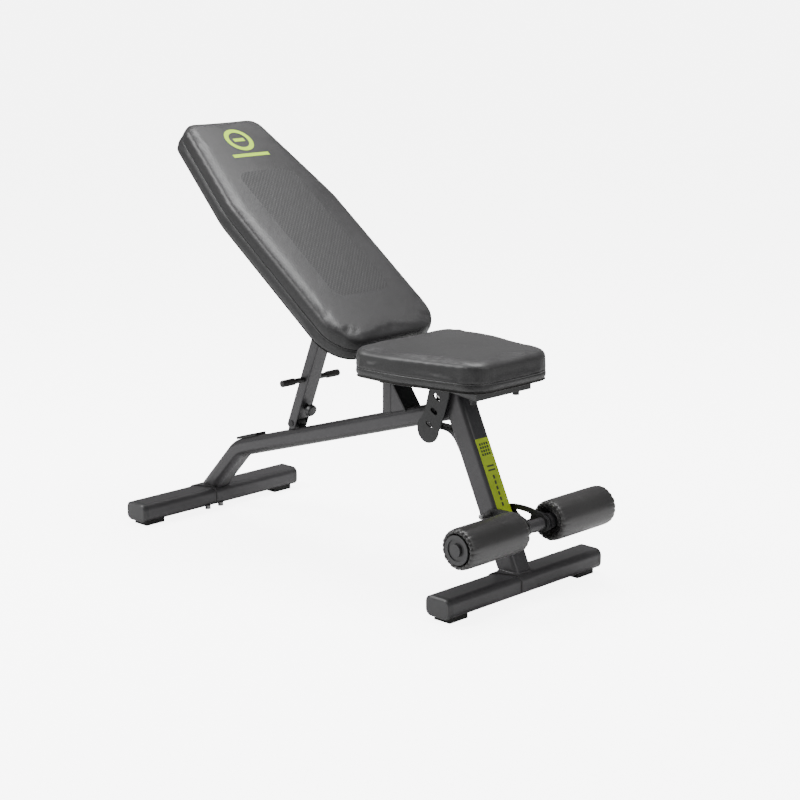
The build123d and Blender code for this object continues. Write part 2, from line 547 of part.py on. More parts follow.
def roller_arm(side):
    """Side plate from the leg to the roller bar, with a window behind a curved top strap."""
    top = Spline((LOCK_X - 2, LOCK_Z + 10), (LOCK_X + 32, LOCK_Z + 15), (ROLLER_X - 24, ROLLER_Z + 25),
                 (ROLLER_X, ROLLER_Z + 22), tangents=[(1, 0.35), (1, 0)])
    rest = Polyline((ROLLER_X, ROLLER_Z + 22), (ROLLER_X + 16, ROLLER_Z + 10), (ROLLER_X + 16, ROLLER_Z - 9),
                    (ROLLER_X, ROLLER_Z - 17), (LOWER_X, LOWER_Z - 11), (LOWER_X - 12, LOWER_Z),
                    (LOCK_X - 12, LOCK_Z), (LOCK_X - 2, LOCK_Z + 10))
    face = make_face(top + rest)
    window = make_face(Polyline((419, 168.5), (425, 173), (451, 172), (462, 169.5), (459.5, 160),
                                (448, 154), (432, 160), close=True))
    face -= fillet(window.vertices(), 2)
    y = max(side * ARM_IN, side * (ARM_IN + ARM_T))
    plate = Pos(0, y, 0) * Rot(90, 0, 0) * extrude(face, ARM_T)
    plate -= pin_y(LOCK_X, LOCK_Z, LOCK_PIN_R + RUN, -60, 60)
    plate -= pin_y(LOWER_X, LOWER_Z, LOWER_BOLT_R, -60, 60)
    return plate - pin_y(ROLLER_X, ROLLER_Z, BAR_R, -60, 60)


for side, hand in SIDES:
    parts[f"roller_arm_{hand}"] = roller_arm(side)

parts["roller_bar"] = ring_y(ROLLER_X, ROLLER_Z, BAR_R, BAR_R - 2,
                             BAR_MID_Y - ROLLER_OUT + 8, BAR_MID_Y + ROLLER_OUT - 8)
lower_bolt = pin_y(LOWER_X, LOWER_Z, LOWER_BOLT_R, -36, 38)
lower_bolt += pin_y(LOWER_X, LOWER_Z, 7.5, -36, -30) + hex_y(LOWER_X, LOWER_Z, 13, 30, 36.5)
parts["roller_arm_bolt"] = lower_bolt
LOCK_HEAD_Y = -50 - GAP
parts["lock_pin_sleeve"] = ring_y(LOCK_X, LOCK_Z, 6.2, LOCK_PIN_R + RUN, -50, -ARM_IN - ARM_T)
lock_head = extrude(Circle(5.8), 9)
lock_head = fillet(lock_head.edges().sort_by(Axis.Z)[-1], 3)
lock_head = Pos(LOCK_X, LOCK_HEAD_Y, LOCK_Z) * Rot(90, 0, 0) * lock_head
parts["lock_pin"] = pin_y(LOCK_X, LOCK_Z, LOCK_PIN_R, LOCK_HEAD_Y, 36) + lock_head

CORE_R = 16.0
CAP_R = 30.0
collars = []
retainers = []
for side, hand in SIDES:
    def out(distance):
        """Y at a distance from the middle of the bar, on this side."""
        return BAR_MID_Y + side * distance

    foam = ring_y(ROLLER_X, ROLLER_Z, ROLLER_R, CORE_R, out(ROLLER_IN), out(ROLLER_OUT))
    rim = foam.edges().filter_by(GeomType.CIRCLE).group_by(SortBy.RADIUS)[-1]
    parts[f"roller_foam_{hand}"] = fillet(rim, 3)
    parts[f"roller_core_{hand}"] = ring_y(ROLLER_X, ROLLER_Z, CORE_R, BAR_R + RUN,
                                          out(ROLLER_IN), out(ROLLER_OUT - 8 - GAP))
    cap = pin_y(ROLLER_X, ROLLER_Z, CAP_R, out(ROLLER_OUT), out(ROLLER_OUT + 4))
    cap += pin_y(ROLLER_X, ROLLER_Z, CORE_R, out(ROLLER_OUT - 3.5), out(ROLLER_OUT))
    cap -= ring_y(ROLLER_X, ROLLER_Z, 22, 14, out(ROLLER_OUT + 2), out(ROLLER_OUT + 5))
    cap += pin_y(ROLLER_X, ROLLER_Z, 13, out(ROLLER_OUT), out(ROLLER_OUT + 7.5))
    parts[f"roller_cap_{hand}"] = cap
    collars.append(ring_y(ROLLER_X, ROLLER_Z, BAR_R + 5, BAR_R, out(ROLLER_IN - 8), out(ROLLER_IN - GAP)))
    retainers.append(pin_y(ROLLER_X, ROLLER_Z, CORE_R - 1, out(ROLLER_OUT - 8), out(ROLLER_OUT - 4)))
parts["roller_collars"] = Compound(children=collars)
parts["roller_retainers"] = Compound(children=retainers)

os.makedirs("parts", exist_ok=True)
for name, shape in parts.items():
    shape.label = name
    export_step(shape, f"parts/{name}.step")
print(len(parts), "sub-parts written")
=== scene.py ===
import json
import math
import random

import bmesh
import bpy
import numpy as np
from mathutils import Matrix, Vector
from mathutils.bvhtree import BVHTree


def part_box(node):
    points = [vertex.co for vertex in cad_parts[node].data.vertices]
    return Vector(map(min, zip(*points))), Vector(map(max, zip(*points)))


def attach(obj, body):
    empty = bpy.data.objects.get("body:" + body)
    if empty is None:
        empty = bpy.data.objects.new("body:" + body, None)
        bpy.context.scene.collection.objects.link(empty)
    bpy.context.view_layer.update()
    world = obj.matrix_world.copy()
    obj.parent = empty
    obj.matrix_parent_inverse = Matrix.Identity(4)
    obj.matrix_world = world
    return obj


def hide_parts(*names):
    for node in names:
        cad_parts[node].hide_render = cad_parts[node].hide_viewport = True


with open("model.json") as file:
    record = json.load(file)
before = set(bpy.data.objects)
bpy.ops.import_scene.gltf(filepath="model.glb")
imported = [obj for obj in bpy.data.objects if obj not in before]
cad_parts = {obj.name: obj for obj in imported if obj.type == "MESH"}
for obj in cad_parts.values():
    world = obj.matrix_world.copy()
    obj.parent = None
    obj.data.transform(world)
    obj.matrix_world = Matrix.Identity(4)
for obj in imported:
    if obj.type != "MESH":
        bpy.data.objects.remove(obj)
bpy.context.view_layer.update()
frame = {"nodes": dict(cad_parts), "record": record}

random.seed(7)
NODES = frame["nodes"]
RECORD = frame["record"]
JOINTS = {j["name"]: j for j in RECORD["behaviour"]["joints"]}
MM = 0.001
SIDES = ((-1, "near"), (1, "far"))

# ---------------------------------------------------------------- the bench's own places
HINGE = Vector(JOINTS["backrest_hinge"]["pos_m"])
ROLLER_AXIS = Vector(JOINTS["roller_near_spin"]["pos_m"])


def face_normal(node):
    """Direction of a flat node's broad face, pointing up."""
    broad = max(NODES[node].data.polygons, key=lambda p: p.area)
    n = Vector(broad.normal)
    return n if n.z > 0 else -n


def extent(node, axis):
    """Lowest and highest distance of a node's vertices along an axis from the hinge."""
    along = [(v.co - HINGE).dot(axis) for v in NODES[node].data.vertices]
    return min(along), max(along)


BACK_N = face_normal("backrest_board")
BACK_U = Vector((-BACK_N.z, 0, BACK_N.x))
SEAT_N = Vector((0, 0, 1))
SEAT_U = Vector((1, 0, 0))


# ---------------------------------------------------------------- camera
CAMERA_AT = (2.9155, -2.876, 1.293)
AZIMUTH, ELEVATION, ROLL = 44.24, 13.15, -0.03
cam_data = bpy.data.cameras.new("camera")
cam_data.lens = 87.5
cam_data.sensor_width = 36
cam_data.clip_end = 60
camera = bpy.data.objects.new("camera", cam_data)
bpy.context.scene.collection.objects.link(camera)
camera.location = CAMERA_AT
camera.rotation_euler = (math.radians(90 - ELEVATION), math.radians(ROLL), math.radians(AZIMUTH))
bpy.context.scene.camera = camera


# ---------------------------------------------------------------- material building
class Graph:
    """A material's node tree, with one short method for each kind of node."""

    def __init__(self, name):
        self.material = bpy.data.materials.new(name)
        self.material.use_nodes = True
        self.tree = self.material.node_tree
        self.shader = self.tree.nodes["Principled BSDF"]

    def node(self, kind, **settings):
        made = self.tree.nodes.new(kind)
        for key, value in settings.items():
            setattr(made, key, value)
        return made

    def put(self, value, socket):
        if isinstance(value, bpy.types.NodeSocket):
            self.tree.links.new(value, socket)
        elif value is not None:
            socket.default_value = value

    def object_space(self):
        return self.node("ShaderNodeTexCoord").outputs["Object"]

    def mapping(self, vector, location=(0, 0, 0), rotation=(0, 0, 0), scale=(1, 1, 1), kind="POINT"):
        n = self.node("ShaderNodeMapping", vector_type=kind)
        self.put(vector, n.inputs["Vector"])
        if kind != "NORMAL":
            n.inputs["Location"].default_value = location
        n.inputs["Rotation"].default_value = rotation
        n.inputs["Scale"].default_value = scale
        return n.outputs["Vector"]

    def noise(self, vector, scale, detail=3.0, rough=0.5):
        n = self.node("ShaderNodeTexNoise")
        self.put(vector, n.inputs["Vector"])
        n.inputs["Scale"].default_value = scale
        n.inputs["Detail"].default_value = detail
        n.inputs["Roughness"].default_value = rough
        return n.outputs["Fac"]

    def voronoi(self, vector, scale, feature="F1", randomness=1.0):
        n = self.node("ShaderNodeTexVoronoi", feature=feature)
        self.put(vector, n.inputs["Vector"])
        n.inputs["Scale"].default_value = scale
        n.inputs["Randomness"].default_value = randomness
        return n.outputs["Distance"]

    def math(self, operation, a, b=None, clamp=False):
        n = self.node("ShaderNodeMath", operation=operation, use_clamp=clamp)
        self.put(a, n.inputs[0])
        if b is not None:
            self.put(b, n.inputs[1])
        return n.outputs[0]

    def remap(self, value, low, high, to_low, to_high):
        n = self.node("ShaderNodeMapRange")
        self.put(value, n.inputs["Value"])
        for key, v in (("From Min", low), ("From Max", high), ("To Min", to_low), ("To Max", to_high)):
            n.inputs[key].default_value = v
        return n.outputs["Result"]

    def mix(self, factor, a, b):
        n = self.node("ShaderNodeMix", data_type="RGBA")
        self.put(factor, n.inputs["Factor"])
        self.put(a, n.inputs["A"])
        self.put(b, n.inputs["B"])
        return n.outputs["Result"]

    def split(self, vector):
        n = self.node("ShaderNodeSeparateXYZ")
        self.put(vector, n.inputs[0])
        return n.outputs

    def bump(self, height, distance, strength=1.0, under=None):
        n = self.node("ShaderNodeBump")
        self.put(height, n.inputs["Height"])
        n.inputs["Distance"].default_value = distance
        n.inputs["Strength"].default_value = strength
        if under is not None:
            self.put(under, n.inputs["Normal"])
        return n.outputs["Normal"]

    def finish(self, color=None, rough=None, metallic=None, normal=None, **sockets):
        self.put(color, self.shader.inputs["Base Color"])
        self.put(rough, self.shader.inputs["Roughness"])
        self.put(metallic, self.shader.inputs["Metallic"])
        self.put(normal, self.shader.inputs["Normal"])
        for key, value in sockets.items():
            self.shader.inputs[key.replace("_", " ")].default_value = value
        return self.material


def rgb(r, g, b):
    return (r, g, b, 1.0)


def powder_coat(name, base, fleck, rough):
    """Baked-on coating: slight orange peel, fine metallic fleck and faint cloudiness."""
    g = Graph(name)
    at = g.object_space()
    fine = g.noise(at, 2600.0, 2.0, 0.6)
    cloud = g.noise(at, 9.0, 3.0)
    flecks = g.remap(fine, 0.52, 0.70, 0.0, 1.0)
    color = g.mix(g.remap(cloud, 0.3, 0.7, 0.0, 1.0), rgb(*[c * 0.88 for c in base]), rgb(*base))
    color = g.mix(g.math("MULTIPLY", flecks, 0.55), color, rgb(*fleck))
    roughness = g.remap(cloud, 0.3, 0.7, rough - 0.04, rough + 0.05)
    peel = g.noise(at, 420.0, 2.0)
    normal = g.bump(fine, 0.00006, 0.6, g.bump(peel, 0.00012, 0.5))
    return g.finish(color, roughness, None, normal, Metallic=0.35)


def vinyl(name, base, light, rough, grain=620.0, depth=0.00022, figure=None):
    """Upholstery vinyl: pebbled grain, creases between the pebbles darkened with painted shade, and a soft
    uneven sheen.
    """
    g = Graph(name)
    at = g.object_space()
    pebble = g.voronoi(at, grain, "SMOOTH_F1")
    crease = g.voronoi(at, grain * 0.45, "DISTANCE_TO_EDGE")
    drift = g.noise(at, 6.5, 4.0, 0.55)
    fine = g.noise(at, 1900.0, 2.0)
    color = g.mix(g.remap(drift, 0.3, 0.7, 0.0, 1.0), rgb(*base), rgb(*light))
    # painted shade: the colour is darkened towards the crease edges between the pebbles
    color = g.mix(g.remap(crease, 0.0, 0.12, 0.35, 0.0), color, rgb(*[c * 0.4 for c in base]))
    roughness = g.remap(drift, 0.3, 0.7, rough - 0.05, rough + 0.06)
    height = g.math("ADD", g.math("MULTIPLY", pebble, -0.8), g.remap(crease, 0.0, 0.15, 0.0, 0.5))
    height = g.math("ADD", height, g.math("MULTIPLY", fine, 0.15))
    if figure:
        mask = figure(g, at)
        color = g.mix(g.math("MULTIPLY", mask, 0.8), color, rgb(*[c * 0.45 for c in base]))
        roughness = g.math("ADD", roughness, g.math("MULTIPLY", mask, 0.22), clamp=True)
        height = g.math("ADD", height, g.math("MULTIPLY", mask, 0.9))
    creases = g.noise(g.mapping(at, scale=(1, 1, 1)), 26.0, 3.0, 0.6)
    normal = g.bump(height, depth, 0.7, g.bump(creases, 0.0011, 0.35))
    return g.finish(color, roughness, None, normal, Specular_IOR_Level=0.5, Sheen_Weight=0.08,
                    Sheen_Roughness=0.4)


GRIP_FIELD = (0.165, 0.560)         # where the matt grip print starts and ends along the backrest
GRIP_HALF = 0.083


def grip_print(g, at):
    """Mask of the matt anti-slip print: a soft-edged field of small round dots."""
    turn = math.atan2(BACK_N.x, BACK_N.z)
    flat = g.mapping(at, location=HINGE, rotation=(0, turn, 0), kind="TEXTURE")
    x, y, _ = g.split(flat)
    along = g.math("MULTIPLY", x, -1.0)
    start, end = GRIP_FIELD
    middle, half = (start + end) / 2, (end - start) / 2
    off_x = g.math("SUBTRACT", g.math("ABSOLUTE", g.math("SUBTRACT", along, middle)), half - 0.03)
    off_y = g.math("SUBTRACT", g.math("ABSOLUTE", y), GRIP_HALF - 0.03)
    dx, dy = g.math("MAXIMUM", off_x, 0.0), g.math("MAXIMUM", off_y, 0.0)
    reach = g.math("SQRT", g.math("ADD", g.math("MULTIPLY", dx, dx), g.math("MULTIPLY", dy, dy)))
    field = g.remap(reach, 0.028, 0.030, 1.0, 0.0)
    dots_at = g.mapping(flat, rotation=(0, 0, math.radians(45)), scale=(1, 1, 0.0))
    dots = g.remap(g.voronoi(dots_at, 150.0, "F1", 0.0), 0.40, 0.46, 1.0, 0.25)
    return g.math("MULTIPLY", field, dots)


def moulded(name, base, rough, grain=900.0, depth=0.00008):
    """Moulded plastic or rubber: fine spark-eroded texture with small scuffs."""
    g = Graph(name)
    at = g.object_space()
    fine = g.noise(at, grain, 3.0, 0.65)
    scuff = g.noise(g.mapping(at, scale=(1, 6, 1)), 38.0, 4.0, 0.7)
    color = g.mix(g.remap(scuff, 0.55, 0.75, 0.0, 0.5), rgb(*base), rgb(*[c * 1.8 for c in base]))
    roughness = g.remap(scuff, 0.4, 0.75, rough, rough + 0.12)
    return g.finish(color, roughness, None, g.bump(fine, depth, 0.7))


def plated(name, base, rough):
    """Zinc-plated steel: turned lines and a faint uneven passivation."""
    g = Graph(name)
    at = g.object_space()
    cloud = g.noise(at, 70.0, 3.0)
    lines = g.noise(g.mapping(at, scale=(1, 18, 1)), 260.0, 2.0)
    color = g.mix(g.remap(cloud, 0.3, 0.7, 0.0, 1.0), rgb(*base), rgb(*[c * 0.75 for c in base]))
    roughness = g.remap(lines, 0.3, 0.7, rough - 0.06, rough + 0.08)
    return g.finish(color, roughness, None, g.bump(lines, 0.00005, 0.4), Metallic=1.0)


def plywood(name, base):
    """Black-stained board: long grain and small pores."""
    g = Graph(name)
    at = g.object_space()
    grain = g.noise(g.mapping(at, scale=(1.2, 22, 22)), 14.0, 5.0, 0.6)
    pores = g.voronoi(g.mapping(at, scale=(1, 8, 8)), 160.0)
    color = g.mix(g.remap(grain, 0.3, 0.7, 0.0, 1.0), rgb(*base), rgb(*[c * 1.9 for c in base]))
    return g.finish(color, g.remap(pores, 0.0, 0.5, 0.75, 0.6), None, g.bump(grain, 0.0002, 0.5))


def printed(name, base, rough):
    """Ink or label film: even colour, broken up by the grain of what is under it."""
    g = Graph(name)
    at = g.object_space()
    grain = g.voronoi(at, 700.0)
    cloud = g.noise(at, 24.0, 3.0)
    color = g.mix(g.remap(cloud, 0.35, 0.7, 0.0, 1.0), rgb(*base), rgb(*[c * 0.86 for c in base]))
    return g.finish(color, g.remap(cloud, 0.3, 0.7, rough, rough + 0.1), None, g.bump(grain, 0.00006, 0.5))


MAT = {
    "frame_steel": powder_coat("frame_steel", (0.034, 0.033, 0.035), (0.12, 0.118, 0.122), 0.36),
    "black_steel": powder_coat("black_steel", (0.010, 0.010, 0.0105), (0.035, 0.035, 0.036), 0.40),
    "vinyl": vinyl("vinyl", (0.016, 0.0155, 0.0165), (0.022, 0.0215, 0.0225), 0.42),
    "vinyl_back": vinyl("vinyl_back", (0.016, 0.0155, 0.0165), (0.022, 0.0215, 0.0225), 0.42,
                        figure=grip_print),
    # side vinyl: coarser and rougher grain, with half the face colour as painted shade on the cushion sides
    # and hem
    "vinyl_side": vinyl("vinyl_side", (0.008, 0.008, 0.0085), (0.012, 0.012, 0.0125), 0.52, 480.0, 0.0003),
    "roller_vinyl": vinyl("roller_vinyl", (0.013, 0.0125, 0.0125), (0.019, 0.018, 0.018), 0.33, 700.0),
    "piping": vinyl("piping", (0.007, 0.007, 0.0075), (0.010, 0.010, 0.011), 0.36, 900.0, 0.0001),
    "board": plywood("board", (0.014, 0.013, 0.012)),
    "rubber": moulded("rubber", (0.011, 0.011, 0.011), 0.72, 700.0, 0.00012),
    "black_plastic": moulded("black_plastic", (0.016, 0.016, 0.017), 0.42),
    "bright_steel": plated("bright_steel", (0.62, 0.62, 0.61), 0.25),
    "zinc": plated("zinc", (0.22, 0.22, 0.22), 0.36),
    "green_ink": printed("green_ink", (0.46, 0.74, 0.002), 0.55),
    "label_green": printed("label_green", (0.34, 0.46, 0.002), 0.50),
    "label_dark": printed("label_dark", (0.03, 0.045, 0.012), 0.45),
}


def paint(obj, material):
    obj.data.materials.clear()
    obj.data.materials.append(MAT[material])


slot_of = {s["node"]: s["material_slot"] for s in RECORD["subparts"]}
SHARP_NODES = {"backrest_pad", "seat_pad", "roller_foam_near", "roller_foam_far"}
for name, obj in NODES.items():
    paint(obj, slot_of[name] if slot_of[name] in MAT else "black_steel")
    if name not in SHARP_NODES:
        bevel = obj.modifiers.new("soft_edges", "BEVEL")
        bevel.width = 0.0006
        bevel.segments = 2
        bevel.limit_method = "ANGLE"
        bevel.angle_limit = math.radians(40)
        bevel.harden_normals = True


# ---------------------------------------------------------------- mesh helpers
def add_object(name, mesh, material, body, smooth=True):
    obj = bpy.data.objects.new(name, mesh)
    bpy.context.scene.collection.objects.link(obj)
    if material:
        paint(obj, material)
    for p in mesh.polygons:
        p.use_smooth = smooth
    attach(obj, body)
    return obj


def mesh_from(name, verts, faces):
    mesh = bpy.data.meshes.new(name)
    mesh.from_pydata([tuple(v) for v in verts], [], faces)
    mesh.validate()
    mesh.update()
    return mesh


def strip_faces(rings, count, closed_rings=False):
    """Quads between rings of count points each."""
    faces = []
    for r in range(rings if closed_rings else rings - 1):
        a, b = r * count, ((r + 1) % rings) * count
        for i in range(count):
            j = (i + 1) % count
            faces.append((a + i, a + j, b + j, b + i))
    return faces


def rounded_outline(corners, radii, count):
    """Evenly spaced points, with outward normals, round a convex outline with arcs for corners."""
    dense = []
    total = len(corners)
    for i, (corner, radius) in enumerate(zip(corners, radii)):
        here = Vector(corner)
        before = (Vector(corners[i - 1]) - here).normalized()
        after = (Vector(corners[(i + 1) % total]) - here).normalized()
        half = before.angle(after) / 2
        reach = radius / math.tan(half)
        centre = here + (before + after).normalized() * (radius / math.sin(half))
        start, end = here + before * reach, here + after * reach
        a0 = math.atan2(start.y - centre.y, start.x - centre.x)
        a1 = math.atan2(end.y - centre.y, end.x - centre.x)
        turn = (a1 - a0 + math.pi) % (2 * math.pi) - math.pi
        for k in range(17):
            a = a0 + turn * k / 16
            dense.append(centre + Vector((math.cos(a), math.sin(a))) * radius)
    points = np.array([(p.x, p.y) for p in dense])
    closed = np.vstack([points, points[:1]])
    lengths = np.r_[0, np.cumsum(np.linalg.norm(np.diff(closed, axis=0), axis=1))]
    at = np.linspace(0, lengths[-1], count, endpoint=False)
    even = np.c_[np.interp(at, lengths, closed[:, 0]), np.interp(at, lengths, closed[:, 1])]
    tangent = np.roll(even, -1, 0) - np.roll(even, 1, 0)
    tangent /= np.linalg.norm(tangent, axis=1)[:, None]
    outward = np.c_[tangent[:, 1], -tangent[:, 0]]
    if np.sum((even - even.mean(0)) * outward) < 0:
        outward = -outward
    return even, outward


class Local:
    """A pad's own frame: a along it, b across it (+Y) and n out of its face."""

    def __init__(self, origin, along, normal):
        self.origin, self.along, self.normal = origin, along, normal

    def place(self, a, b, n):
        return self.origin + self.along * a + Vector((0, b, 0)) + self.normal * n

    def measure(self, co):
        d = co - np.array(self.origin)
        return d @ np.array(self.along), d[:, 1], d @ np.array(self.normal)


BACK = Local(HINGE, BACK_U, BACK_N)
SEAT = Local(Vector((0, 0, 0)), SEAT_U, SEAT_N)


def tube_along(name, points, radius, sides=8, closed=True):
    """Round tube along a list of points."""
    pts = [Vector(p) for p in points]
    count = len(pts)
    verts = []
    up = None
    for i, p in enumerate(pts):
        ahead = pts[(i + 1) % count] if closed or i + 1 < count else p
        behind = pts[i - 1] if closed or i else p
        tangent = (ahead - behind).normalized()
        if up is None:
            up = tangent.orthogonal().normalized()
        up = (up - tangent * up.dot(tangent)).normalized()
        side = tangent.cross(up)
        size = radius(i) if callable(radius) else radius
        for k in range(sides):
            a = 2 * math.pi * k / sides
            verts.append(p + (up * math.cos(a) + side * math.sin(a)) * size)
    faces = strip_faces(count, sides, closed)
    if not closed:
        faces.append(tuple(reversed(range(sides))))
        faces.append(tuple(range((count - 1) * sides, count * sides)))
    return mesh_from(name, verts, faces)


# ---------------------------------------------------------------- cushions
SIM_FRAMES = 20


def inflate(obj, local, pinned_below, pressure, cap):
    """Cloth under pressure: the cover swells between its edges, held still at the board."""
    mesh = obj.data
    co = np.zeros(len(mesh.vertices) * 3)
    mesh.vertices.foreach_get("co", co)
    co = co.reshape(-1, 3)
    _, _, height = local.measure(co)
    pins = obj.vertex_groups.new(name="held")
    pins.add([int(i) for i in np.nonzero(height < pinned_below)[0]], 1.0, "REPLACE")
    cloth = obj.modifiers.new("cover", "CLOTH")
    s = cloth.settings
    s.quality = 4
    s.mass = 0.3
    s.tension_stiffness = s.compression_stiffness = 12
    s.shear_stiffness = 8
    s.bending_stiffness = 4
    s.use_pressure = True
    s.uniform_pressure_force = pressure
    s.effector_weights.gravity = 0
    s.vertex_group_mass = "held"
    cloth.point_cache.frame_start = 1
    cloth.point_cache.frame_end = SIM_FRAMES
    for f in range(1, SIM_FRAMES + 1):
        bpy.context.scene.frame_set(f)
    evaluated = obj.evaluated_get(bpy.context.evaluated_depsgraph_get())
    moved = np.zeros_like(co).reshape(-1)
    evaluated.data.vertices.foreach_get("co", moved)
    moved = moved.reshape(-1, 3)
    obj.modifiers.remove(cloth)
    bpy.context.scene.frame_set(1)
    shift = moved - co
    size = np.linalg.norm(shift, axis=1)
    shift *= (cap * np.tanh(size / cap) / np.maximum(size, 1e-9))[:, None]
    mesh.vertices.foreach_set("co", (co + shift).reshape(-1))
    mesh.update()


def apply_modifiers(obj):
    evaluated = obj.evaluated_get(bpy.context.evaluated_depsgraph_get())
    mesh = bpy.data.meshes.new_from_object(evaluated)
    obj.modifiers.clear()
    obj.data = mesh


def cushion(name, local, outline, outward, profile, voxel, seam_n, pinned_below, pressure, cap, crown,
            face_material, body, node):
    """Crowned, closed cover over foam, with a drawn-in seam round its side."""
    count = len(outline)
    verts = []
    for inset, n in profile:
        for (a, b), (oa, ob) in zip(outline, outward):
            verts.append(local.place(a - oa * inset, b - ob * inset, n))
    faces = strip_faces(len(profile), count)
    faces.append(tuple(reversed(range(count))))
    faces.append(tuple(range((len(profile) - 1) * count, len(profile) * count)))
    mesh = mesh_from(name, verts, faces)
    bm = bmesh.new()
    bm.from_mesh(mesh)
    bmesh.ops.recalc_face_normals(bm, faces=bm.faces)
    bm.to_mesh(mesh)
    bm.free()
    obj = add_object(name, mesh, face_material, body)
    remesh = obj.modifiers.new("remesh", "REMESH")
    remesh.mode = "VOXEL"
    remesh.voxel_size = voxel
    apply_modifiers(obj)
    inflate(obj, local, pinned_below, pressure, cap)
    subdivide = obj.modifiers.new("smooth", "SUBSURF")
    subdivide.levels = subdivide.render_levels = 1
    apply_modifiers(obj)
    shape_seam(obj, local, outline, outward, seam_n, crown)
    # second slot: the side vinyl, whose darker colour is painted shade
    obj.data.materials.append(MAT["vinyl_side"])
    side_panels(obj, local, seam_n)
    for p in obj.data.polygons:
        p.use_smooth = True
    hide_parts(node)
    return obj


def shape_seam(obj, local, outline, outward, seam_n, crown):
    """Draws the side in along the seam and adds the foam's slow crown to the face."""
    mesh = obj.data
    co = np.zeros(len(mesh.vertices) * 3)
    mesh.vertices.foreach_get("co", co)
    co = co.reshape(-1, 3)
    a, b, n = local.measure(co)
    low, high = outline.min(0), outline.max(0)
    across = np.clip(1 - (b / max(abs(low[1]), high[1])) ** 2, 0, 1)
    along = np.clip(1 - ((a - (low[0] + high[0]) / 2) / ((high[0] - low[0]) / 2)) ** 2, 0, 1)
    raised = np.clip((n - seam_n) / 0.02, 0, 1)
    lift = crown * (across ** 0.7) * (along ** 0.4) * raised
    co += lift[:, None] * np.array(local.normal)[None, :]
    pts = np.c_[a, b]
    nearest = np.array([np.argmin(np.sum((outline - p) ** 2, axis=1)) for p in pts])
    direction = outward[nearest]
    depth = np.sum((outline[nearest] - pts) * direction, axis=1)
    near_side = np.clip(1 - depth / 0.012, 0, 1)
    groove = 0.0024 * np.exp(-((n - seam_n) / 0.0026) ** 2) * near_side
    inward = -(direction[:, :1] * np.array(local.along)[None, :]
               + direction[:, 1:] * np.array((0, 1, 0))[None, :])
    co += groove[:, None] * inward
    mesh.vertices.foreach_set("co", co.reshape(-1))
    mesh.update()


def side_panels(obj, local, seam_n):
    """The side below the rounded top edge is a rougher cover than the face; its darker colour on faces turned
    away from the top is painted shade.
    """
    # faces turned away from the top, or below the seam, get the darker side vinyl as painted shade
    for p in obj.data.polygons:
        n_part = p.normal.dot(local.normal)
        _, _, n = local.measure(np.array([p.center]))
        p.material_index = 1 if n_part < 0.3 or n[0] < seam_n else 0


def surface_points(obj, local, outline, outward, n, out=0.0):
    """Where the side of a cushion lies at one height, all round it."""
    tree = BVHTree.FromObject(obj, bpy.context.evaluated_depsgraph_get())
    points = []
    for (a, b), (oa, ob) in zip(outline, outward):
        direction = local.along * oa + Vector((0, ob, 0))
        start = local.place(a, b, n) + direction * 0.05
        hit = tree.ray_cast(start, -direction)[0]
        points.append((hit if hit is not None else local.place(a, b, n)) + direction * out)
    return points


def smooth_loop(points, passes=4):
    p = np.array([tuple(v) for v in points])
    for _ in range(passes):
        p = (np.roll(p, 1, 0) + 2 * p + np.roll(p, -1, 0)) / 4
    return p


def turned_hem(name, local, outline, outward, n, width, body):
    """The cover's edge, turned under the board and stapled, with a slightly wavy cut edge."""
    rng = random.Random(3)
    count = len(outline)
    wave = np.array([rng.uniform(-1, 1) for _ in range(count)])
    for _ in range(6):
        wave = (np.roll(wave, 1) + wave + np.roll(wave, -1)) / 3
    verts = []
    for inset, depth, wavy in ((0.0035, 0.0, 0), (0.005, -0.0009, 0), (width, -0.0010, 1), (width, 0.0001, 1)):
        for i, ((a, b), (oa, ob)) in enumerate(zip(outline, outward)):
            d = inset + wavy * 0.004 * wave[i]
            verts.append(local.place(a - oa * d, b - ob * d, n + depth))
    # the hem uses the side vinyl, darker as painted shade
    obj = add_object(name, mesh_from(name, verts, strip_faces(4, count)), "vinyl_side", body)
    solid = obj.modifiers.new("thickness", "SOLIDIFY")
    solid.thickness = 0.0004
    return obj


def staples(name, local, outline, outward, n, inset, step, body):
    """Staples across the hem, all round the board."""
    bm = bmesh.new()
    rng = random.Random(5)
    for i in range(0, len(outline), step):
        (a, b), (oa, ob) = outline[i], outward[i]
        centre = local.place(a - oa * inset, b - ob * inset, n)
        out = (local.along * oa + Vector((0, ob, 0))).normalized()
        turn = Matrix.Rotation(rng.uniform(-0.25, 0.25), 3, local.normal)
        side = turn @ local.normal.cross(out)
        basis = Matrix((side, turn @ out, local.normal)).transposed().to_4x4()
        scale = Matrix.Diagonal((0.010, 0.0009, 0.0007, 1.0))
        bmesh.ops.create_cube(bm, size=1.0, matrix=Matrix.Translation(centre) @ basis @ scale)
    mesh = bpy.data.meshes.new(name)
    bm.to_mesh(mesh)
    bm.free()
    return add_object(name, mesh, "zinc", body, smooth=False)


